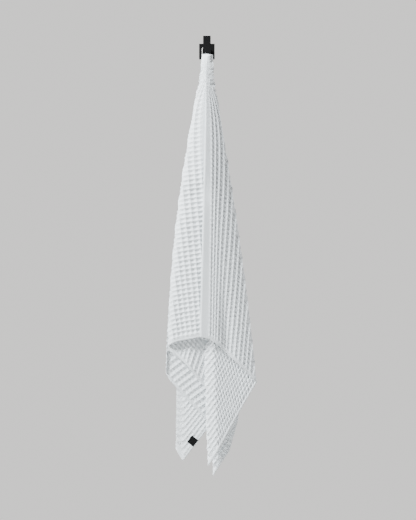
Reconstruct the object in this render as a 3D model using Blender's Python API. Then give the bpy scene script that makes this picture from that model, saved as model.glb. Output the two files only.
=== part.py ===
"""White waffle towel hanging by its sewn loop from a square-plate wall hook.

Metres, +Z up. The origin is the middle of the back face of the hook's plate,
which lies flat on the wall. The wall is the plane y = 0 and the room is at -y.
The towel is one sheet, folded along rays that run out from its loop.
"""
import math

import bmesh
import bpy
import numpy as np
from mathutils import Vector

MM = 0.001

# Hook
PLATE_SIDE = 38.0 * MM
PLATE_THICK = 4.0 * MM
PLATE_BEVEL = 0.8 * MM
ARM_WIDTH = 14.0 * MM
ARM_TOP = 6.0 * MM
ARM_UNDER = -8.5 * MM
ARM_INTO_TONGUE = 1.5 * MM
BAR_REACH = 31.0 * MM
TONGUE_WIDTH = 18.5 * MM
TONGUE_TOP = 35.5 * MM
TONGUE_UNDER = -9.0 * MM
TONGUE_THICK = 4.0 * MM
NOSE_ROUND = 3.0 * MM
INNER_ROUND = 1.5 * MM
ROUND_STEPS = 6
BAR_BEVEL = 0.5 * MM
FIT_GAP = 0.3 * MM

# Hanging loop, a folded tape over the bar
TAPE_WIDTH = 8.0 * MM
TAPE_THICK = 1.2 * MM
LOOP_DEPTH = 15.0 * MM
LOOP_WIDTH = 18.6 * MM
LOOP_ASIDE = -1.5 * MM
LOOP_GAP = 0.8 * MM
LOOP_FOOT = -12.2 * MM
LOOP_CORNER = 3.0 * MM
LOOP_STEPS = 5

# Label, a square tab on the hem near the left low corner
LABEL_SIDE = 19.5 * MM
LABEL_THICK = 0.7 * MM
LABEL_GAP = 0.5 * MM
LABEL_ALONG = 34.0 * MM
LABEL_OUT_SHARE = 0.981
LABEL_FIT_STEP = 4.0 * MM

# Towel, flat size and the way it hangs
HALF_LONG = 700.0 * MM
SHORT = 700.0 * MM
TOWEL_THICK = 2.4 * MM
GATHER_WIDTH_SHARE = 0.125
GATHER_DEPTH_SHARE = 0.24
FULL_DEPTH_AT = 0.45
FULL_DEPTH_POWER = 0.8
FOLD_SOFTNESS = 3.0 * MM
BOW_SHAPE = 4.0
SOFTENING_TAPS = 7

# Each row is a fold or bend of the towel, in the order met going round its
# outer edge from the top right corner to the top left one. "along" is the
# distance on that edge from its first corner, "x" and "z" are where the hem
# hangs there, "depth" is how far the cloth is from the wall as it comes in and
# "turn" how far as it leaves. "bow" pushes the middle of the fold sideways.
# Millimetres.
COLUMNS = ("edge", "along", "x", "z", "depth", "turn", "bow")
RIGHT_FOLDS = (
    ("right", 0, -18, -690, 88, 88, 0),
    ("right", 24, 5, -695, 85, 85, 0),
    ("right", 66, 27, -709, 82, 82, 2),
    ("right", 96, 46, -729, 79, 79, 4),
    ("right", 142, 84, -764, 72, 72, 8),
    ("right", 190, 119, -801, 64, 59, 11),
    ("right", 272, 80, -867, 62, 62, 7),
    ("right", 425, 25, -966, 69, 69, -4),
    ("right", 455, 3, -1001, 60, 56, -10),
    ("right", 575, 76, -888, 49, 44, 0),
    ("right", 632, 55, -965, 43, 43, 0),
    ("right", 700, 15, -1026, 40, 36, 0),
)
LEFT_FOLDS = (
    ("left", -22, -77, -960, 31, 31, -21),
    ("left", 0, -58, -992, 32, 33, -12),
    ("left", 84, 1, -914, 37, 37, 0),
    ("left", 98, 6, -900, 37, 41, 0),
    ("left", 216, -91, -794, 42, 42, -18),
    ("left", 231, -98, -779, 42, 46, -20),
    ("left", 272, -95, -722, 46, 46, -18),
    ("left", 326, -42, -763, 47, 47, -9),
    ("left", 402, 17, -838, 48, 53, 0),
    ("left", 480, -40, -768, 62, 62, -9),
    ("left", 560, -93, -712, 53, 60, -20),
    ("left", 576, -82, -705, 70, 70, -17),
    ("left", 598, -63, -700, 73, 73, -12),
    ("left", 618, -43, -696, 75.5, 75.5, -8),
    ("left", 644, -18, -691, 78, 78, -2),
    ("left", 700, 38, -680, 70, 70, 0),
)

# How the gathered top sits round the hook: where the hem is this deep, the top
# is "top_depth" from the wall and starts at "top_z". Millimetres.
GATHER_COLUMNS = ("depth", "top_depth", "top_z")
GATHER = (
    (8.0, 13.0, -13.0),
    (56.0, 28.0, -13.0),
    (59.5, 33.4, -8.5),
    (90.0, 35.2, -8.5),
)

# Soft bulges (forward) and hollows (negative) between the folds, each round a
# place on the edge and a share out from the loop. Millimetres, and shares.
BULGE_COLUMNS = ("edge", "along", "out", "along_reach", "out_reach", "forward")
BULGES = (
    ("left", 600, 0.60, 18, 0.18, 1.5),
    ("left", 598, 0.95, 20, 0.14, -2),
    ("left", 620, 0.50, 60, 0.05, -4),
    ("right", 0, 0.50, 30, 0.05, -3),
    ("right", 96, 0.96, 20, 0.14, -5),
)

# The long bottom edge is gathered behind in two stacks of pleats, one each
# side, that meet at the middle of the edge.
PLEATS = 8
PLEAT_STEP = 3.4
MIDDLE_Z = -700.0
PLEAT_NARROWING = 0.15
STACKS = {
    "right": {"inner": 8.0, "outer": 67.0, "corner": (15.0, -1026.0), "first_z": -897.0,
              "depth": 36.0, "starts_outer": True},
    "left": {"inner": -6.0, "outer": -68.0, "corner": (-77.0, -960.0), "first_z": -904.0,
             "depth": 31.0, "starts_outer": False},
}

# How finely the towel's solid is divided
LEVELS = 19
LEVEL_POWER = 1.15
FOLD_SIDE = 1.8 * MM
CLOSEST = 1.35 * MM
LONGEST_SPAN = 48.0 * MM


def clear_scene():
    for item in list(bpy.data.objects):
        bpy.data.objects.remove(item, do_unlink=True)


def material(name, colour, roughness, metallic=0.0):
    made = bpy.data.materials.new(name)
    made.use_nodes = True
    shader = made.node_tree.nodes["Principled BSDF"]
    shader.inputs["Base Color"].default_value = (*colour, 1.0)
    shader.inputs["Roughness"].default_value = roughness
    shader.inputs["Metallic"].default_value = metallic
    return made


def add_object(name, verts, faces, finish, smooth_angle=None):
    mesh = bpy.data.meshes.new(name)
    mesh.from_pydata([tuple(v) for v in verts], [], faces)
    mesh.validate()
    work = bmesh.new()
    work.from_mesh(mesh)
    bmesh.ops.recalc_face_normals(work, faces=work.faces)
    work.to_mesh(mesh)
    work.free()
    made = bpy.data.objects.new(name, mesh)
    made.data.materials.append(finish)
    bpy.context.collection.objects.link(made)
    if smooth_angle is not None:
        mesh.shade_smooth()
        mesh.set_sharp_from_angle(angle=math.radians(smooth_angle))
    return made


def pleat_half(stack):
    """Folds of one stack, from its corner to the middle of the bottom edge."""
    corner_x, corner_z = stack["corner"]
    first_z = stack["first_z"]
    folds = []
    for step in range(1, PLEATS + 1):
        share = (step - 1) / (PLEATS - 0.5)
        outer = (step % 2 == 1) == stack["starts_outer"]
        x = stack["outer"] * (1.0 - PLEAT_NARROWING * share) if outer else stack["inner"]
        z = first_z + (MIDDLE_Z - first_z) * share
        depth = stack["depth"] - (step - 1) * PLEAT_STEP
        folds.append((x, z, depth, depth - PLEAT_STEP))
    lengths = []
    last = (corner_x, corner_z)
    for x, z, near, far in folds:
        lengths.append(math.hypot(x - last[0], z - last[1]))
        last = (x, z)
    whole = sum(lengths) + abs(last[0])
    along = np.cumsum(lengths) * HALF_LONG / MM / whole
    return [(round(float(a), 2), *fold) for a, fold in zip(along, folds)]


def pleat_rows():
    """Rows for the long bottom edge, corner to corner, with its pleats."""
    right = pleat_half(STACKS["right"])
    left = pleat_half(STACKS["left"])
    rows = [("bottom", along, x, z, near, far, 0) for along, x, z, near, far in right]
    rows += [("bottom", 2.0 * HALF_LONG / MM - along, x, z, far, near, 0)
             for along, x, z, near, far in reversed(left)]
    return rows


def edge_start(edge):
    return {"right": 0.0, "bottom": SHORT, "left": SHORT + 2.0 * HALF_LONG}[edge]


def fold_points():
    """Stations round the edge: distance, hem place and sideways bow, in metres."""
    stations = []
    for row in (*RIGHT_FOLDS, *pleat_rows(), *LEFT_FOLDS):
        fold = dict(zip(COLUMNS, row))
        place = edge_start(fold["edge"]) + fold["along"] * MM
        half_turn = abs(fold["turn"] - fold["depth"]) * MM / 2.0
        if half_turn == 0.0:
            turns = ((place, fold["depth"]),)
        else:
            turns = ((place - half_turn, fold["depth"]), (place + half_turn, fold["turn"]))
        for distance, depth in turns:
            stations.append((distance, fold["x"] * MM, fold["z"] * MM, depth * MM, fold["bow"] * MM))
    return np.array(stations)


STATIONS = fold_points()


def opening(out):
    """Share of its full depth that the bundle has at a share out from the loop."""
    return np.minimum(1.0, out / FULL_DEPTH_AT) ** FULL_DEPTH_POWER


def thinning(out):
    """Share of its full thickness that the gathered cloth has near the loop."""
    return GATHER_DEPTH_SHARE + (1.0 - GATHER_DEPTH_SHARE) * opening(out)


def spreading(out):
    """Share of its full width that the bundle has at a share out from the loop."""
    return np.hypot(out, GATHER_WIDTH_SHARE * (1.0 - out))


def bulging(out, edge):
    """How far forward the soft bulges push the cloth, in metres."""
    total = 0.0
    for row in BULGES:
        bulge = dict(zip(BULGE_COLUMNS, row))
        middle = edge_start(bulge["edge"]) + bulge["along"] * MM
        beside = (edge - middle) / (bulge["along_reach"] * MM)
        below = (out - bulge["out"]) / bulge["out_reach"]
        total = total + bulge["forward"] * MM * np.exp(-beside ** 2 - below ** 2)
    return total


def sharp_place(out, edge):
    """Where the folded sheet is, before its folds are softened."""
    distance, hem_x, hem_z, hem_depth, bow = STATIONS.T
    x = np.interp(edge, distance, hem_x)
    z = np.interp(edge, distance, hem_z)
    depth = np.interp(edge, distance, hem_depth)
    side = np.interp(edge, distance, bow)
    gather = dict(zip(GATHER_COLUMNS, np.array(GATHER).T * MM))
    top_depth = np.interp(depth, gather["depth"], gather["top_depth"])
    top_z = np.interp(depth, gather["depth"], gather["top_z"])
    deep = top_depth + (depth - top_depth) * opening(out) + bulging(out, edge)
    return np.stack((x * spreading(out) + BOW_SHAPE * side * out * (1.0 - out),
                     -deep,
                     top_z + (z - top_z) * out), axis=-1)


def towel_place(out, edge):
    """Middle of the cloth at a share out from the loop and a place on the edge."""
    edge = np.asarray(edge, dtype=float)
    out = np.asarray(out, dtype=float)
    total = np.zeros(np.broadcast(out, edge).shape + (3,))
    for tap in np.linspace(-1.0, 1.0, SOFTENING_TAPS):
        total += sharp_place(out, edge + tap * FOLD_SOFTNESS)
    return total / SOFTENING_TAPS


def edge_samples():
    """Places round the edge: close at the folds, wider between them."""
    last = 2.0 * SHORT + 2.0 * HALF_LONG
    picked = [0.0, last]
    for distance in STATIONS[:, 0]:
        picked += [distance - FOLD_SIDE, distance + FOLD_SIDE]
    picked = sorted(p for p in picked if 0.0 <= p <= last)
    kept = [picked[0]]
    for place in picked[1:]:
        gap = place - kept[-1]
        if gap < CLOSEST:
            continue
        pieces = max(1, math.ceil(gap / LONGEST_SPAN))
        kept += [kept[-1] + gap * (i + 1) / pieces for i in range(pieces)]
    return np.array(kept)


def sheet_solid(grid, thick):
    """Closed solid round a grid of points; thick is the thickness of each row."""
    rows, cols, _ = grid.shape
    across = np.gradient(grid, axis=1)
    down = np.gradient(grid, axis=0)
    normal = np.cross(across, down)
    normal /= np.linalg.norm(normal, axis=-1, keepdims=True) + 1e-12
    offset = normal * (thick / 2.0)[:, None, None]
    verts = np.concatenate(((grid + offset).reshape(-1, 3), (grid - offset).reshape(-1, 3)))
    back = rows * cols
    faces = []
    for r in range(rows - 1):
        for c in range(cols - 1):
            a = r * cols + c
            b = a + 1
            d = a + cols
            e = d + 1
            faces += [(a, d, e), (a, e, b), (back + a, back + e, back + d), (back + a, back + b, back + e)]
    rim = [c for c in range(cols)]
    rim += [r * cols + cols - 1 for r in range(1, rows)]
    rim += [(rows - 1) * cols + c for c in range(cols - 2, -1, -1)]
    rim += [r * cols for r in range(rows - 2, 0, -1)]
    for i, a in enumerate(rim):
        b = rim[(i + 1) % len(rim)]
        faces += [(a, b, back + b), (a, back + b, back + a)]
    return verts, faces


def make_towel(finish):
    levels = np.linspace(0.0, 1.0, LEVELS) ** LEVEL_POWER
    edges = edge_samples()
    grid = towel_place(levels[:, None], edges[None, :])
    verts, faces = sheet_solid(grid, TOWEL_THICK * thinning(levels))
    return add_object("towel", verts, faces, finish, 60)


def make_plate(finish):
    mesh = bpy.data.meshes.new("hook_plate")
    work = bmesh.new()
    bmesh.ops.create_cube(work, size=1.0)
    bmesh.ops.scale(work, vec=Vector((PLATE_SIDE, PLATE_THICK, PLATE_SIDE)), verts=work.verts)
    bmesh.ops.translate(work, vec=Vector((0.0, -PLATE_THICK / 2.0, 0.0)), verts=work.verts)
    work.to_mesh(mesh)
    work.free()
    made = bpy.data.objects.new("hook_plate", mesh)
    made.data.materials.append(finish)
    bpy.context.collection.objects.link(made)
    bevel = made.modifiers.new("edges", "BEVEL")
    bevel.width = PLATE_BEVEL
    bevel.segments = 2
    return made


def corner(centre_away, centre_up, radius, first, last):
    """Points of a rounded corner, as (distance from wall, height)."""
    angles = [math.radians(first + (last - first) * i / ROUND_STEPS) for i in range(ROUND_STEPS + 1)]
    return [(centre_away + radius * math.cos(a), centre_up + radius * math.sin(a)) for a in angles]


def arm_section():
    """Side view of the arm, up to where it runs into the tongue."""
    start = PLATE_THICK + FIT_GAP
    back = BAR_REACH - TONGUE_THICK
    end = back + ARM_INTO_TONGUE
    points = [(start, ARM_UNDER), (end, ARM_UNDER), (end, ARM_TOP + INNER_ROUND)]
    points += corner(back - INNER_ROUND, ARM_TOP + INNER_ROUND, INNER_ROUND, 0, -90)
    points.append((start, ARM_TOP))
    return points


def tongue_section():
    """Side view of the upright tongue, rounded at its lower front."""
    back = BAR_REACH - TONGUE_THICK
    points = [(back, TONGUE_UNDER)]
    points += corner(BAR_REACH - NOSE_ROUND, TONGUE_UNDER + NOSE_ROUND, NOSE_ROUND, -90, 0)
    points += [(BAR_REACH, TONGUE_TOP), (back, TONGUE_TOP)]
    return points


def pushed_out(name, section, width, finish):
    """Solid with the given side view, as wide as width across the hook."""
    count = len(section)
    verts = [(side * width / 2.0, -away, up) for side in (-1, 1) for away, up in section]
    faces = [tuple(range(count)), tuple(range(2 * count - 1, count - 1, -1))]
    faces += [(i, count + i, count + (i + 1) % count, (i + 1) % count) for i in range(count)]
    return add_object(name, verts, faces, finish, 40)


def make_bar(finish):
    made = pushed_out("hook_bar", tongue_section(), TONGUE_WIDTH, finish)
    arm = pushed_out("arm", arm_section(), ARM_WIDTH, finish)
    joined = made.modifiers.new("arm", "BOOLEAN")
    joined.operation = "UNION"
    joined.object = arm
    bpy.context.view_layer.update()
    whole = bpy.data.meshes.new_from_object(made.evaluated_get(bpy.context.evaluated_depsgraph_get()))
    made.modifiers.clear()
    made.data = whole
    bpy.data.objects.remove(arm)
    bevel = made.modifiers.new("edges", "BEVEL")
    bevel.width = BAR_BEVEL
    bevel.segments = 1
    bevel.limit_method = "ANGLE"
    return made


def loop_line(grow):
    """Front view of the tape as a bent line, grown outwards by grow."""
    half = LOOP_WIDTH / 2.0 + grow
    top = ARM_TOP + LOOP_GAP + grow
    round_off = LOOP_CORNER * 0.5 + grow
    points = [(-half, LOOP_FOOT)]
    for i in range(LOOP_STEPS):
        angle = math.radians(180 - 90 * i / (LOOP_STEPS - 1))
        points.append((-half + round_off + round_off * math.cos(angle),
                       top - round_off + round_off * math.sin(angle)))
    points += [(-x, z) for x, z in reversed(points)]
    return [(x + LOOP_ASIDE, z) for x, z in points]


def make_loop(finish):
    inner = loop_line(0.0)
    outer = loop_line(TAPE_THICK)
    count = len(inner)
    front = -(LOOP_DEPTH + TAPE_WIDTH / 2.0)
    rear = -(LOOP_DEPTH - TAPE_WIDTH / 2.0)
    verts = [(x, y, z) for y in (front, rear) for line in (inner, outer) for x, z in line]
    faces = []
    for i in range(count - 1):
        a, b = i, i + 1
        c, d = count + i, count + i + 1
        e, f = 2 * count + i, 2 * count + i + 1
        g, h = 3 * count + i, 3 * count + i + 1
        faces += [(a, b, d, c), (e, g, h, f), (c, d, h, g), (a, e, f, b)]
    last = count - 1
    faces += [(0, count, 3 * count, 2 * count)]
    faces += [(last, 2 * count + last, 3 * count + last, count + last)]
    return add_object("hanging_loop", verts, faces, finish, 40)


def make_label(finish):
    """Square tab in front of the lowest left panel, turned in line with its hem."""
    edge = edge_start("left") + LABEL_ALONG
    out = LABEL_OUT_SHARE
    middle = towel_place(out, edge)
    along = towel_place(out, edge + LABEL_FIT_STEP) - towel_place(out, edge - LABEL_FIT_STEP)
    step = LABEL_FIT_STEP / SHORT
    down = towel_place(out + step, edge) - towel_place(out - step, edge)
    along /= np.linalg.norm(along)
    normal = np.cross(along, down)
    normal /= np.linalg.norm(normal)
    normal *= -np.sign(normal[1])
    down = np.cross(normal, along)
    centre = middle + normal * (TOWEL_THICK / 2.0 + LABEL_GAP + LABEL_THICK / 2.0)
    verts = []
    for lift in (-0.5, 0.5):
        for u, v in ((-0.5, -0.5), (0.5, -0.5), (0.5, 0.5), (-0.5, 0.5)):
            verts.append(centre + along * u * LABEL_SIDE + down * v * LABEL_SIDE + normal * lift * LABEL_THICK)
    faces = [(0, 1, 2, 3), (7, 6, 5, 4)]
    faces += [(i, 4 + i, 4 + (i + 1) % 4, (i + 1) % 4) for i in range(4)]
    return add_object("label_tab", verts, faces, finish)


def main():
    clear_scene()
    black = material("black_metal", (0.012, 0.012, 0.013), 0.45, 0.6)
    make_plate(black)
    make_bar(material("black_metal_bar", (0.012, 0.012, 0.013), 0.45, 0.6))
    make_loop(material("white_tape", (0.80, 0.79, 0.76), 0.9))
    make_towel(material("white_waffle", (0.83, 0.83, 0.82), 0.95))
    make_label(material("black_tab", (0.015, 0.015, 0.016), 0.8))


main()
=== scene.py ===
"""Looks of a white waffle towel hanging from a black square-plate wall hook.

Metres, +Z up, with the wall at y = 0 and the room at -y.
"""
import math

import bpy
import numpy as np
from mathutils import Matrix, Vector


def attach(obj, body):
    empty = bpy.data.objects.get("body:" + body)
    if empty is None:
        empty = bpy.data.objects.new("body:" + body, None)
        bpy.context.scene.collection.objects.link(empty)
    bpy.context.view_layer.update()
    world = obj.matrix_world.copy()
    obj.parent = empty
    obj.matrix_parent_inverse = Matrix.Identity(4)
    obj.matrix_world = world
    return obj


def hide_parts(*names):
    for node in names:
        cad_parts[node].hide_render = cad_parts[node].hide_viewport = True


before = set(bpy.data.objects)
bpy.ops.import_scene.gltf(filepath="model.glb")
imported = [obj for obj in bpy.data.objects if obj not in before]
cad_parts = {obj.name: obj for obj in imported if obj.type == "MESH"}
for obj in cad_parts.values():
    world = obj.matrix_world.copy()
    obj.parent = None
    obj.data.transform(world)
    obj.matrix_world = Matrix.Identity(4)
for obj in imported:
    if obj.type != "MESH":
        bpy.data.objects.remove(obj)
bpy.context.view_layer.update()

MM = 0.001

# The photograph's frame and scale
PHOTO_WIDE = 416
PHOTO_HIGH = 520
METRES_PER_PIXEL = 0.00243
HOOK_PIXEL = (206.9, 51.7)
CAMERA_DISTANCE = 5.0
SENSOR = 36.0

# Towel, flat size and the way it hangs, as in the construction
HALF_LONG = 700.0 * MM
SHORT = 700.0 * MM
EDGE_LENGTH = 2.0 * SHORT + 2.0 * HALF_LONG
GATHER_WIDTH_SHARE = 0.125
GATHER_DEPTH_SHARE = 0.24
FULL_DEPTH_AT = 0.45
FULL_DEPTH_POWER = 0.8
FOLD_SOFTNESS = 3.0 * MM
SOFTENING_TAPS = 7
BOW_SHAPE = 4.0

# Folds met going round the outer edge, from the top right corner to the top
# left one. "along" is the distance on that edge from its first corner, "x" and
# "z" are where the hem hangs, "depth" and "turn" the distances from the wall
# as the cloth comes in and leaves, and "bow" how far the fold swings sideways.
# Millimetres.
COLUMNS = ("edge", "along", "x", "z", "depth", "turn", "bow")
RIGHT_FOLDS = (
    ("right", 0, -18, -690, 88, 88, 0),
    ("right", 24, 5, -695, 85, 85, 0),
    ("right", 66, 27, -709, 82, 82, 2),
    ("right", 96, 46, -729, 79, 79, 4),
    ("right", 142, 84, -764, 72, 72, 8),
    ("right", 190, 119, -801, 64, 59, 11),
    ("right", 272, 80, -867, 62, 62, 7),
    ("right", 425, 25, -966, 69, 69, -4),
    ("right", 455, 3, -1001, 60, 56, -10),
    ("right", 575, 76, -888, 49, 44, 0),
    ("right", 632, 55, -965, 43, 43, 0),
    ("right", 700, 15, -1026, 40, 36, 0),
)
LEFT_FOLDS = (
    ("left", -22, -77, -960, 31, 31, -21),
    ("left", 0, -58, -992, 32, 33, -12),
    ("left", 84, 1, -914, 37, 37, 0),
    ("left", 98, 6, -900, 37, 41, 0),
    ("left", 216, -91, -794, 42, 42, -18),
    ("left", 231, -98, -779, 42, 46, -20),
    ("left", 272, -95, -722, 46, 46, -18),
    ("left", 326, -42, -763, 47, 47, -9),
    ("left", 402, 17, -838, 48, 53, 0),
    ("left", 480, -40, -768, 62, 62, -9),
    ("left", 560, -93, -712, 53, 60, -20),
    ("left", 576, -82, -705, 70, 70, -17),
    ("left", 598, -63, -700, 73, 73, -12),
    ("left", 618, -43, -696, 75.5, 75.5, -8),
    ("left", 644, -18, -691, 78, 78, -2),
    ("left", 700, 38, -680, 70, 70, 0),
)

# How the gathered top sits round the hook: where the hem is this deep, the top
# is "top_depth" from the wall and starts at "top_z". Millimetres.
GATHER_COLUMNS = ("depth", "top_depth", "top_z")
GATHER = (
    (8.0, 13.0, -13.0),
    (56.0, 28.0, -13.0),
    (59.5, 33.4, -8.5),
    (90.0, 35.2, -8.5),
)

# Soft bulges (forward) and hollows (negative) between the folds, each round a
# place on the edge and a share out from the loop. Millimetres, and shares.
BULGE_COLUMNS = ("edge", "along", "out", "along_reach", "out_reach", "forward")
BULGES = (
    ("left", 600, 0.60, 18, 0.18, 1.5),
    ("left", 598, 0.95, 20, 0.14, -2),
    ("left", 620, 0.50, 60, 0.05, -4),
    ("right", 0, 0.50, 30, 0.05, -3),
    ("right", 96, 0.96, 20, 0.14, -5),
)

# Pleats of the long bottom edge, in a stack at each low corner. Millimetres.
PLEATS = 8
PLEAT_STEP = 3.4
PLEAT_NARROWING = 0.15
MIDDLE_Z = -700.0
STACKS = {
    "right": {"inner": 8.0, "outer": 67.0, "corner": (15.0, -1026.0), "first_z": -897.0,
              "depth": 36.0, "starts_outer": True},
    "left": {"inner": -6.0, "outer": -68.0, "corner": (-77.0, -960.0), "first_z": -904.0,
             "depth": 31.0, "starts_outer": False},
}

# Waffle weave. Its ridges cross at raised points, sag between them, and close
# in sunk cells. A plain border runs along each long edge, the wider one at the
# top, and a narrow hem along each short one.
CELLS_LONG = 122
CELLS_SHORT = 58
BORDER = 22.0 * MM
LOW_BORDER = 11.0 * MM
BORDER_STEPS = 4
HALF_CELL = (SHORT - BORDER - LOW_BORDER) / CELLS_SHORT / 2.0
HEM = 6.0 * MM
HEM_STEPS = 2
CLOTH_THICK = 2.0 * MM
HEM_THICK = 2.5 * MM
CELL_RISE = 1.8 * MM
CELL_SINK = 2.6 * MM
LONG_RIDGE_SAG = 1.2 * MM
SHORT_RIDGE_SAG = 1.55 * MM

# The relief fades in between these shares out from the loop
SMOOTH_OUT = 0.01
WOVEN_OUT = 0.11

# Share of the relief by distance from the wall in millimetres: the pleats
# packed between the back and the front panels are pressed flatter.
RELIEF = (
    (5.0, 0.85),
    (11.0, 0.85),
    (15.0, 0.5),
    (30.0, 0.5),
    (39.0, 1.0),
)

# Folds where the cloth is pulled flatter as it turns back at the sides: the
# place on the edge, how far round it that reaches in millimetres, and the share
# of the relief that stays.
LIMB_COLUMNS = ("edge", "along", "reach", "share")
LIMBS = (
    ("right", 190, 12, 0.45),
    ("right", 575, 12, 0.5),
    ("left", 224, 12, 0.5),
    ("left", 566, 9, 0.5),
)

# Cells squeezed to less than this share of their flat width lose relief, down
# to the least share.
FULL_PITCH = 0.9
LEAST_PITCH = 0.35

# How the flat cloth is shared out among the folds. Up to the front part from
# each end of the edge its lines run side by side down the front and squeeze
# together towards the loop. Close to the loop the half turn is shared out by
# the gathered table: a share of the turn, and the metres along the edge.
FRONT_PART = 0.5
FRONT_SQUEEZE = 5.0
GATHERED_OUT = 0.11
GATHERED_FADE = 0.06
GATHERED = (
    (0.0, 0.0),
    (0.15, 0.07),
    (0.25, 0.19),
    (0.5, 1.4),
    (0.75, 2.66),
    (0.85, 2.74),
    (1.0, 2.8),
)
ROUNDED_TOP = 0.012
LEAST_OUT = 1e-6
LEAST_LENGTH = 1e-12

# Cloth finish
CLOTH_WHITE = (0.785, 0.82, 0.84)
PATCH_TONE = 0.96
PATCH_SCALE = 9.0
FIBRE_SCALE = 900.0
THREAD_SCALE = 260.0
THREAD_WOBBLE = 0.6
CLOTH_BUMP_STRENGTH = 0.35
CLOTH_BUMP = 0.4 * MM

# Hook finish
HOOK_BLACK = (0.002, 0.002, 0.0023)
HOOK_ROUGHNESS = (0.42, 0.58)
GRAIN_SCALE = 1800.0
GRAIN_BUMP_STRENGTH = 0.15
GRAIN_BUMP = 0.1 * MM

# Loop and label finish
TAPE_WHITE = (0.80, 0.79, 0.76)
TAPE_WEAVE_SCALE = 500.0
LABEL_BLACK = (0.003, 0.003, 0.0033)
LABEL_WEAVE_SCALE = 700.0
WEAVE_BUMP_STRENGTH = 0.4
WEAVE_BUMP = 0.2 * MM

# Studio
WALL_PALE = (0.80, 0.79, 0.775)
BACKDROP_STRENGTH = 1.3
SKY_LEFT = 0.30
SKY_RIGHT = 0.23
FLOOR_Z = -1.6
FLOOR_RADIUS = 2.6
FLOOR_SIDES = 96
LIGHT_AIM = (0.0, 0.0, -0.5)
LIGHT_COLUMNS = ("name", "place", "size", "watts", "colour")
LIGHTS = (
    ("window", (-2.1, -1.2, 1.5), (0.7, 0.9), 415.0, (0.94, 0.98, 1.0)),
    ("fill", (2.0, -2.4, -0.2), (2.0, 2.0), 14.0, (0.95, 0.97, 1.0)),
    ("rear_window", (2.1, 1.3, 0.6), (0.7, 0.9), 90.0, (1.0, 1.0, 1.0)),
)


def add_object(name, data):
    made = bpy.data.objects.new(name, data)
    bpy.context.scene.collection.objects.link(made)
    return made


def add_camera():
    data = bpy.data.cameras.new("camera")
    camera = add_object("camera", data)
    across = (PHOTO_WIDE / 2.0 - HOOK_PIXEL[0]) * METRES_PER_PIXEL
    up = -(PHOTO_HIGH / 2.0 - HOOK_PIXEL[1]) * METRES_PER_PIXEL
    camera.location = (across, -CAMERA_DISTANCE, up)
    camera.rotation_euler = (math.radians(90.0), 0.0, 0.0)
    data.sensor_width = SENSOR
    data.lens = SENSOR * CAMERA_DISTANCE / (PHOTO_HIGH * METRES_PER_PIXEL)
    bpy.context.scene.camera = camera


def pleat_half(stack):
    """Folds of one stack, from its corner to the middle of the bottom edge."""
    corner_x, corner_z = stack["corner"]
    first_z = stack["first_z"]
    folds = []
    for step in range(1, PLEATS + 1):
        share = (step - 1) / (PLEATS - 0.5)
        outer = (step % 2 == 1) == stack["starts_outer"]
        x = stack["outer"] * (1.0 - PLEAT_NARROWING * share) if outer else stack["inner"]
        z = first_z + (MIDDLE_Z - first_z) * share
        depth = stack["depth"] - (step - 1) * PLEAT_STEP
        folds.append((x, z, depth, depth - PLEAT_STEP))
    lengths = []
    last = (corner_x, corner_z)
    for x, z, near, far in folds:
        lengths.append(math.hypot(x - last[0], z - last[1]))
        last = (x, z)
    whole = sum(lengths) + abs(last[0])
    along = np.cumsum(lengths) * HALF_LONG / MM / whole
    return [(round(float(a), 2), *fold) for a, fold in zip(along, folds)]


def pleat_rows():
    """Rows for the long bottom edge, corner to corner, with its pleats."""
    right = pleat_half(STACKS["right"])
    left = pleat_half(STACKS["left"])
    rows = [("bottom", along, x, z, near, far, 0) for along, x, z, near, far in right]
    rows += [("bottom", 2.0 * HALF_LONG / MM - along, x, z, far, near, 0)
             for along, x, z, near, far in reversed(left)]
    return rows


def edge_start(edge):
    return {"right": 0.0, "bottom": SHORT, "left": SHORT + 2.0 * HALF_LONG}[edge]


def fold_points():
    """Stations round the edge: distance, hem place and sideways bow, in metres."""
    stations = []
    for row in (*RIGHT_FOLDS, *pleat_rows(), *LEFT_FOLDS):
        fold = dict(zip(COLUMNS, row))
        place = edge_start(fold["edge"]) + fold["along"] * MM
        half_turn = abs(fold["turn"] - fold["depth"]) * MM / 2.0
        if half_turn == 0.0:
            turns = ((place, fold["depth"]),)
        else:
            turns = ((place - half_turn, fold["depth"]), (place + half_turn, fold["turn"]))
        for distance, depth in turns:
            stations.append((distance, fold["x"] * MM, fold["z"] * MM, depth * MM, fold["bow"] * MM))
    return np.array(stations)


STATIONS = fold_points()


def opening(out):
    """Share of its full depth that the bundle has at a share out from the loop."""
    return np.minimum(1.0, out / FULL_DEPTH_AT) ** FULL_DEPTH_POWER


def thinning(out):
    """Share of its full thickness that the gathered cloth has near the loop."""
    return GATHER_DEPTH_SHARE + (1.0 - GATHER_DEPTH_SHARE) * opening(out)


def spreading(out):
    """Share of its full width that the bundle has at a share out from the loop."""
    return np.hypot(out, GATHER_WIDTH_SHARE * (1.0 - out))


def bulging(out, edge):
    """How far forward the soft bulges push the cloth, in metres."""
    total = 0.0
    for row in BULGES:
        bulge = dict(zip(BULGE_COLUMNS, row))
        middle = edge_start(bulge["edge"]) + bulge["along"] * MM
        beside = (edge - middle) / (bulge["along_reach"] * MM)
        below = (out - bulge["out"]) / bulge["out_reach"]
        total = total + bulge["forward"] * MM * np.exp(-beside ** 2 - below ** 2)
    return total


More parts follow.
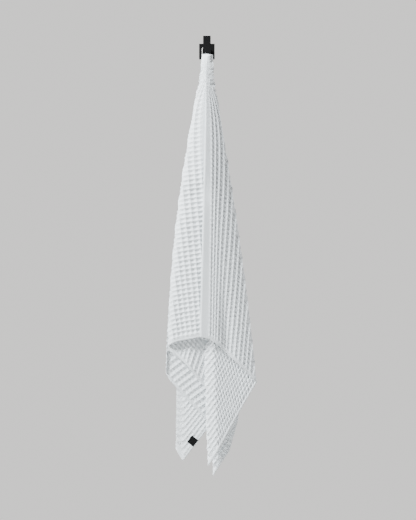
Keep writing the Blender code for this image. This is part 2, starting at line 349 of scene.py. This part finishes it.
def sharp_place(out, edge):
    """Where the folded sheet is, before its folds are softened."""
    distance, hem_x, hem_z, hem_depth, bow = STATIONS.T
    x = np.interp(edge, distance, hem_x)
    z = np.interp(edge, distance, hem_z)
    depth = np.interp(edge, distance, hem_depth)
    side = np.interp(edge, distance, bow)
    gather = dict(zip(GATHER_COLUMNS, np.array(GATHER).T * MM))
    top_depth = np.interp(depth, gather["depth"], gather["top_depth"])
    top_z = np.interp(depth, gather["depth"], gather["top_z"])
    deep = top_depth + (depth - top_depth) * opening(out) + bulging(out, edge)
    return np.stack((x * spreading(out) + BOW_SHAPE * side * out * (1.0 - out),
                     -deep,
                     top_z + (z - top_z) * out), axis=-1)


def towel_place(out, edge):
    """Middle of the cloth at a share out from the loop and a place on the edge."""
    edge = np.asarray(edge, dtype=float)
    out = np.asarray(out, dtype=float)
    total = np.zeros(np.broadcast(out, edge).shape + (3,))
    for tap in np.linspace(-1.0, 1.0, SOFTENING_TAPS):
        total += sharp_place(out, edge + tap * FOLD_SOFTNESS)
    return total / SOFTENING_TAPS


def mesh_lines(length, cells, first, last, steps):
    """Distances of the lines over one flat side: first margin, half cells, last margin."""
    return np.concatenate((np.linspace(0.0, first, steps, endpoint=False),
                           np.linspace(first, length - last, 2 * cells + 1),
                           np.linspace(length - last, length, steps + 1)[1:]))


def straight_edge(across, down, out):
    """Place on the edge that a straight line from the loop through a flat place meets."""
    right = across / out
    below = down / out
    on_right = across / HALF_LONG >= down / SHORT
    on_left = -across / HALF_LONG >= down / SHORT
    return np.select((on_right, on_left), (below, EDGE_LENGTH - below), SHORT + HALF_LONG - right)


def side_by_side(edge, keep):
    """Place on the edge once the front's lines run down side by side."""
    low = FRONT_PART * keep
    stretch = (EDGE_LENGTH - 2.0 * low) / (EDGE_LENGTH - 2.0 * FRONT_PART)
    return np.select((edge < FRONT_PART, edge > EDGE_LENGTH - FRONT_PART),
                     (edge * keep, EDGE_LENGTH - (EDGE_LENGTH - edge) * keep),
                     low + (edge - FRONT_PART) * stretch)


def out_and_edge(across, down):
    """Turns places on the flat towel into a share out from the loop and a place on the edge."""
    out = np.maximum(np.maximum(np.abs(across) / HALF_LONG, down / SHORT), LEAST_OUT)
    edge = straight_edge(across, down, out)
    woven = side_by_side(edge, (out / spreading(out)) ** FRONT_SQUEEZE)
    turn_share, gathered_edge = np.array(GATHERED).T
    gathered = np.interp(edge / EDGE_LENGTH, turn_share, gathered_edge)
    near_loop = np.clip((GATHERED_OUT - out) / GATHERED_FADE, 0.0, 1.0)
    hung = (np.hypot(out, ROUNDED_TOP) - ROUNDED_TOP) / (math.hypot(1.0, ROUNDED_TOP) - ROUNDED_TOP)
    return hung, woven + (gathered - woven) * near_loop


def limb_share(edge):
    """Share of the weave's relief that stays where the cloth turns back."""
    share = 1.0
    for row in LIMBS:
        limb = dict(zip(LIMB_COLUMNS, row))
        middle = edge_start(limb["edge"]) + limb["along"] * MM
        beside = (edge - middle) / (limb["reach"] * MM)
        share = share * (1.0 - (1.0 - limb["share"]) * np.exp(-beside ** 2))
    return share


def relief_share(out, edge, depth, pitch):
    """Share of the weave's full relief at each place of the cloth."""
    from_loop = np.clip((out - SMOOTH_OUT) / (WOVEN_OUT - SMOOTH_OUT), 0.0, 1.0)
    relief_depth, relief = np.array(RELIEF).T
    pressed = np.interp(depth, relief_depth * MM, relief)
    squeezed = np.clip(pitch / HALF_CELL / FULL_PITCH, LEAST_PITCH, 1.0)
    return from_loop * pressed * limb_share(edge) * squeezed


def weave_heights(rows, cols):
    """Full heights of the weave over the cloth's two faces, and where the hems are."""
    along = (np.arange(cols) - HEM_STEPS)[None, :]
    below = (np.arange(rows) - BORDER_STEPS)[:, None]
    woven = (along > 0) & (along < 2 * CELLS_LONG) & (below > 0) & (below < 2 * CELLS_SHORT)
    pit = (along % 2 == 1) & (below % 2 == 1)
    peak = (along % 2 == 0) & (below % 2 == 0)
    ridge = CELL_RISE - np.where(below % 2 == 1, SHORT_RIDGE_SAG, LONG_RIDGE_SAG)
    front = np.where(woven, np.select((pit, peak), (-CELL_SINK, CELL_RISE), ridge), 0.0)
    back = np.where(woven, np.select((peak, pit), (-CELL_SINK, CELL_RISE), ridge), 0.0)
    hem = (along < 0) | (along > 2 * CELLS_LONG)
    return front, back, hem


def towel_verts(flat_across, flat_down):
    """Points of the front face and then of the back face."""
    out, edge = out_and_edge(flat_across, flat_down)
    place = towel_place(out, edge)
    step_across = np.gradient(place, axis=1)
    step_down = np.gradient(place, axis=0)
    normal = np.cross(step_down, step_across)
    normal /= np.linalg.norm(normal, axis=-1, keepdims=True) + LEAST_LENGTH
    pitch = np.minimum(np.linalg.norm(step_across, axis=-1), np.linalg.norm(step_down, axis=-1))

    share = relief_share(out, edge, -place[..., 1], pitch)
    front, back, hem = weave_heights(*flat_across.shape)
    thin = thinning(out)
    faces = []
    for side, height in ((1.0, front), (-1.0, back)):
        half = np.where(hem, HEM_THICK / 2.0, CLOTH_THICK / 2.0 + share * height)
        faces.append((place + side * normal * (half * thin)[..., None]).reshape(-1, 3))
    return np.concatenate(faces)


def towel_faces(rows, cols):
    """Triangles of both faces and the rim, and which of them are shaded smooth.

    The cells stay flat-shaded, and their triangles meet at the pits and peaks.
    """
    count = rows * cols
    above, beside = np.meshgrid(np.arange(rows - 1), np.arange(cols - 1), indexing="ij")
    corner = (above * cols + beside).ravel()
    falling = ((above - BORDER_STEPS + beside - HEM_STEPS) % 2 == 0).ravel()[:, None]
    a, b, c, d = corner, corner + cols, corner + cols + 1, corner + 1
    first = np.where(falling, np.stack((a, b, c), axis=1), np.stack((a, b, d), axis=1))
    second = np.where(falling, np.stack((a, c, d), axis=1), np.stack((b, c, d), axis=1))
    front = np.concatenate((first, second))
    back = front[:, ::-1] + count

    rim = list(range(cols))
    rim += [i * cols + cols - 1 for i in range(1, rows)]
    rim += [(rows - 1) * cols + i for i in range(cols - 2, -1, -1)]
    rim += [i * cols for i in range(rows - 2, 0, -1)]
    rim = np.array(rim)
    after = np.roll(rim, -1)
    around = np.concatenate((np.stack((rim, after, after + count), axis=1),
                             np.stack((rim, after + count, rim + count), axis=1)))

    in_cells = ((above >= BORDER_STEPS) & (above < rows - 1 - BORDER_STEPS)
                & (beside >= HEM_STEPS) & (beside < cols - 1 - HEM_STEPS)).ravel()
    smooth = np.concatenate((np.tile(~in_cells, 4), np.ones(len(around), bool)))
    return np.concatenate((front, back, around)), smooth


def build_towel():
    across = mesh_lines(2.0 * HALF_LONG, CELLS_LONG, HEM, HEM, HEM_STEPS) - HALF_LONG
    down = mesh_lines(SHORT, CELLS_SHORT, BORDER, LOW_BORDER, BORDER_STEPS)
    flat_across, flat_down = np.meshgrid(across, down)
    faces, smooth = towel_faces(len(down), len(across))
    mesh = bpy.data.meshes.new("waffle_towel")
    mesh.from_pydata(towel_verts(flat_across, flat_down).tolist(), [], faces.tolist())
    mesh.polygons.foreach_set("use_smooth", smooth)

    flat = np.stack((flat_across.ravel(), flat_down.ravel()), axis=1)
    flat = np.concatenate((flat, flat))
    loops = np.empty(len(mesh.loops), dtype=np.int32)
    mesh.loops.foreach_get("vertex_index", loops)
    uv = mesh.uv_layers.new(name="flat")
    uv.data.foreach_set("uv", flat[loops].astype(np.float32).ravel())

    towel = add_object("waffle_towel", mesh)
    towel.data.materials.append(cloth_material())
    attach(towel, "root")
    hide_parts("towel")


def new_material(name):
    made = bpy.data.materials.new(name)
    made.use_nodes = True
    tree = made.node_tree
    return made, tree, tree.nodes["Principled BSDF"]


def noise_texture(tree, scale, where):
    noise = tree.nodes.new("ShaderNodeTexNoise")
    noise.inputs["Scale"].default_value = scale
    tree.links.new(where, noise.inputs["Vector"])
    return noise


def band_texture(tree, direction, scale, where):
    bands = tree.nodes.new("ShaderNodeTexWave")
    bands.wave_type = "BANDS"
    bands.bands_direction = direction
    bands.inputs["Scale"].default_value = scale
    tree.links.new(where, bands.inputs["Vector"])
    return bands


def combine(tree, operation, first, second):
    node = tree.nodes.new("ShaderNodeMath")
    node.operation = operation
    tree.links.new(first, node.inputs[0])
    tree.links.new(second, node.inputs[1])
    return node.outputs[0]


def add_bump(tree, shader, height, strength, distance):
    bump = tree.nodes.new("ShaderNodeBump")
    bump.inputs["Strength"].default_value = strength
    bump.inputs["Distance"].default_value = distance
    tree.links.new(height, bump.inputs["Height"])
    tree.links.new(bump.outputs["Normal"], shader.inputs["Normal"])


def cloth_material():
    made, tree, shader = new_material("white_waffle_cotton")
    shader.inputs["Roughness"].default_value = 0.92
    shader.inputs["Specular IOR Level"].default_value = 0.25
    shader.inputs["Sheen Weight"].default_value = 0.15
    shader.inputs["Sheen Roughness"].default_value = 0.5
    uv_map = tree.nodes.new("ShaderNodeUVMap")
    uv_map.uv_map = "flat"
    where = uv_map.outputs["UV"]

    # Faint patches in the white
    patch = noise_texture(tree, PATCH_SCALE, where)
    ramp = tree.nodes.new("ShaderNodeValToRGB")
    ramp.color_ramp.elements[0].color = (*(v * PATCH_TONE for v in CLOTH_WHITE), 1.0)
    ramp.color_ramp.elements[1].color = (*CLOTH_WHITE, 1.0)
    tree.links.new(patch.outputs["Fac"], ramp.inputs["Fac"])
    tree.links.new(ramp.outputs["Color"], shader.inputs["Base Color"])

    # Crossing threads with loose fibres
    threads = []
    for direction in ("X", "Y"):
        bands = band_texture(tree, direction, THREAD_SCALE, where)
        bands.inputs["Distortion"].default_value = THREAD_WOBBLE
        threads.append(bands.outputs["Fac"])
    fibres = noise_texture(tree, FIBRE_SCALE, where)
    fibres.inputs["Detail"].default_value = 3.0
    height = combine(tree, "ADD", combine(tree, "MULTIPLY", *threads), fibres.outputs["Fac"])
    add_bump(tree, shader, height, CLOTH_BUMP_STRENGTH, CLOTH_BUMP)
    return made


def hook_material():
    made, tree, shader = new_material("matte_black_coat")
    shader.inputs["Base Color"].default_value = (*HOOK_BLACK, 1.0)
    shader.inputs["Metallic"].default_value = 0.0
    shader.inputs["Specular IOR Level"].default_value = 0.2
    where = tree.nodes.new("ShaderNodeTexCoord").outputs["Object"]
    grain = noise_texture(tree, GRAIN_SCALE, where)
    rough = tree.nodes.new("ShaderNodeMapRange")
    rough.inputs["To Min"].default_value = HOOK_ROUGHNESS[0]
    rough.inputs["To Max"].default_value = HOOK_ROUGHNESS[1]
    tree.links.new(grain.outputs["Fac"], rough.inputs["Value"])
    tree.links.new(rough.outputs["Result"], shader.inputs["Roughness"])
    add_bump(tree, shader, grain.outputs["Fac"], GRAIN_BUMP_STRENGTH, GRAIN_BUMP)
    return made


def woven_material(name, colour, weave_scale):
    made, tree, shader = new_material(name)
    shader.inputs["Base Color"].default_value = (*colour, 1.0)
    shader.inputs["Roughness"].default_value = 0.85
    shader.inputs["Specular IOR Level"].default_value = 0.15
    where = tree.nodes.new("ShaderNodeTexCoord").outputs["Object"]
    weave = band_texture(tree, "DIAGONAL", weave_scale, where)
    add_bump(tree, shader, weave.outputs["Fac"], WEAVE_BUMP_STRENGTH, WEAVE_BUMP)
    return made


def dress_nodes():
    finishes = {
        "hook_plate": hook_material(),
        "hook_bar": hook_material(),
        "hanging_loop": woven_material("white_cotton_tape", TAPE_WHITE, TAPE_WEAVE_SCALE),
        "label_tab": woven_material("black_woven_tab", LABEL_BLACK, LABEL_WEAVE_SCALE),
    }
    for name, finish in finishes.items():
        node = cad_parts[name]
        node.data.materials.clear()
        node.data.materials.append(finish)


def add_world():
    """Soft light that is stronger from the left, with an even backdrop behind the part."""
    world = bpy.data.worlds.new("studio")
    world.use_nodes = True
    nodes, links = world.node_tree.nodes, world.node_tree.links
    soft = nodes["Background"]
    soft.inputs["Color"].default_value = (*WALL_PALE, 1.0)
    where = nodes.new("ShaderNodeTexCoord")
    parts = nodes.new("ShaderNodeSeparateXYZ")
    links.new(where.outputs["Generated"], parts.inputs["Vector"])
    fade = nodes.new("ShaderNodeMapRange")
    fade.inputs["From Min"].default_value = -1.0
    fade.inputs["From Max"].default_value = 1.0
    fade.inputs["To Min"].default_value = SKY_LEFT
    fade.inputs["To Max"].default_value = SKY_RIGHT
    links.new(parts.outputs["X"], fade.inputs["Value"])
    links.new(fade.outputs["Result"], soft.inputs["Strength"])
    backdrop = nodes.new("ShaderNodeBackground")
    backdrop.inputs["Color"].default_value = (*WALL_PALE, 1.0)
    backdrop.inputs["Strength"].default_value = BACKDROP_STRENGTH
    path = nodes.new("ShaderNodeLightPath")
    both = nodes.new("ShaderNodeMixShader")
    links.new(path.outputs["Is Camera Ray"], both.inputs["Fac"])
    links.new(soft.outputs["Background"], both.inputs[1])
    links.new(backdrop.outputs["Background"], both.inputs[2])
    links.new(both.outputs["Shader"], nodes["World Output"].inputs["Surface"])
    bpy.context.scene.world = world


def add_floor():
    turns = [2.0 * math.pi * i / FLOOR_SIDES for i in range(FLOOR_SIDES)]
    rim = [(FLOOR_RADIUS * math.cos(turn), FLOOR_RADIUS * math.sin(turn), 0.0) for turn in turns]
    mesh = bpy.data.meshes.new("floor")
    mesh.from_pydata(rim, [], [tuple(range(FLOOR_SIDES))])
    floor = add_object("floor", mesh)
    floor.location = (0.0, 0.0, FLOOR_Z)
    made, _, shader = new_material("pale_floor")
    shader.inputs["Base Color"].default_value = (*WALL_PALE, 1.0)
    shader.inputs["Roughness"].default_value = 0.9
    floor.data.materials.append(made)


def add_lights():
    for row in LIGHTS:
        lamp = dict(zip(LIGHT_COLUMNS, row))
        data = bpy.data.lights.new(lamp["name"], "AREA")
        data.shape = "RECTANGLE"
        data.size, data.size_y = lamp["size"]
        data.energy = lamp["watts"]
        data.color = lamp["colour"]
        light = add_object(lamp["name"], data)
        light.location = lamp["place"]
        towards = Vector(LIGHT_AIM) - Vector(lamp["place"])
        light.rotation_euler = towards.to_track_quat("-Z", "Y").to_euler()


add_camera()
add_world()
add_floor()
add_lights()
dress_nodes()
build_towel()
